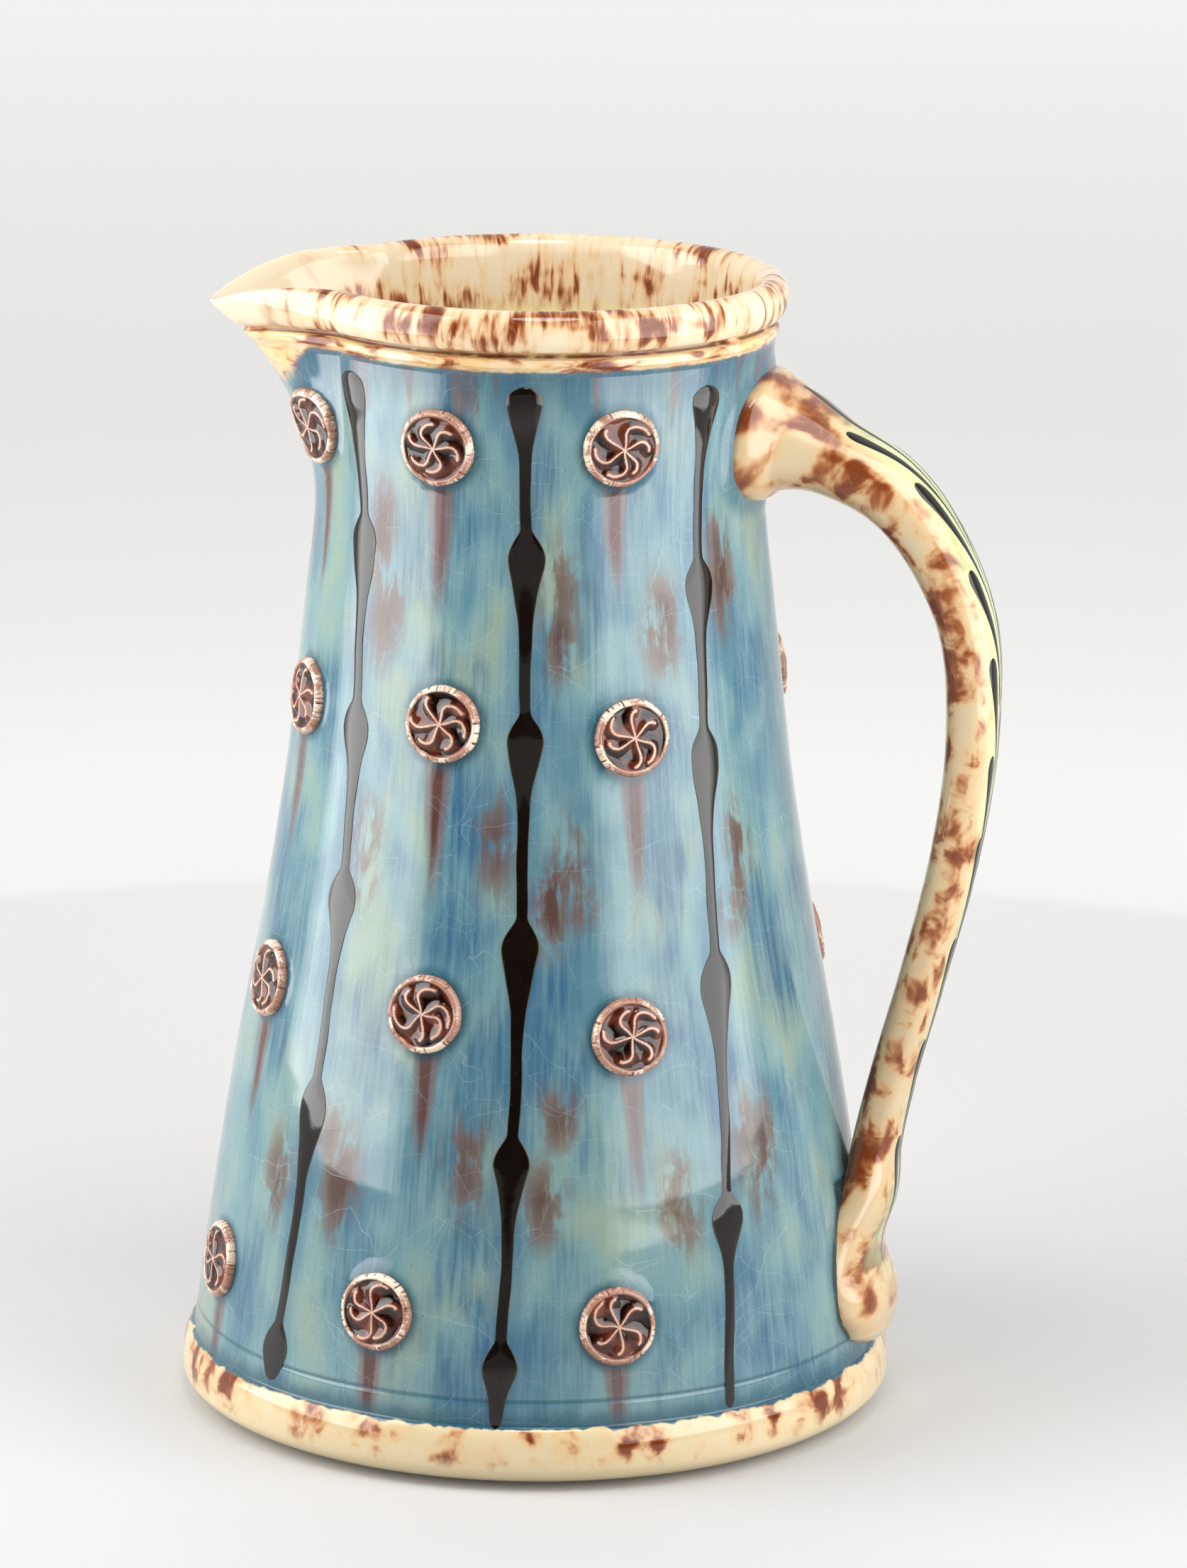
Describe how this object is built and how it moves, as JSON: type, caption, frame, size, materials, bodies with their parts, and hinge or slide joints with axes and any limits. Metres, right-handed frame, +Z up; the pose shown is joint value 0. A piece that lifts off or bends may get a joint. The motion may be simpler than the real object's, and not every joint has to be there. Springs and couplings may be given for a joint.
{
  "type": "jug",
  "caption": "Tall tapering glazed earthenware jug with a pulled spout, rolled rim, strap handle, sprigged medallions and beaded slip trails.",
  "frame": {"origin": "centre of the flat underside, on which the jug stands", "axes": "+Z up from the foot to the rim, +X from the jug's centre towards the handle"},
  "size_m": [0.1801, 0.1571, 0.25],
  "materials": {
    "body_glaze": "glossy, streaked blue and green over a cream rim and foot",
    "handle_glaze": "glossy cream with brown runs and a pale green outer face",
    "sprig_glaze": "glossy red-brown, worn pale on the ridges",
    "slip_glaze": "glossy black"
  },
  "bodies": {
    "root": {"jug_body": "body_glaze", "handle": "handle_glaze", "medallion_c1_r1": "sprig_glaze", "medallion_c1_r2": "sprig_glaze", "medallion_c1_r3": "sprig_glaze", "medallion_c1_r4": "sprig_glaze", "medallion_c2_r1": "sprig_glaze", "medallion_c2_r2": "sprig_glaze", "medallion_c2_r3": "sprig_glaze", "medallion_c2_r4": "sprig_glaze", "medallion_c3_r1": "sprig_glaze", "medallion_c3_r2": "sprig_glaze", "medallion_c3_r3": "sprig_glaze", "medallion_c3_r4": "sprig_glaze", "medallion_c4_r1": "sprig_glaze", "medallion_c4_r2": "sprig_glaze", "medallion_c4_r3": "sprig_glaze", "medallion_c4_r4": "sprig_glaze", "medallion_c5_r1": "sprig_glaze", "medallion_c5_r2": "sprig_glaze", "medallion_c5_r3": "sprig_glaze", "medallion_c5_r4": "sprig_glaze", "medallion_c6_r1": "sprig_glaze", "medallion_c6_r2": "sprig_glaze", "medallion_c6_r3": "sprig_glaze", "medallion_c6_r4": "sprig_glaze", "medallion_c7_r1": "sprig_glaze", "medallion_c7_r2": "sprig_glaze", "medallion_c7_r3": "sprig_glaze", "medallion_c7_r4": "sprig_glaze", "trail_1": "slip_glaze", "trail_2": "slip_glaze", "trail_3": "slip_glaze", "trail_4": "slip_glaze", "trail_5": "slip_glaze", "trail_6": "slip_glaze", "trail_7": "slip_glaze"}
  },
  "joints": []
}
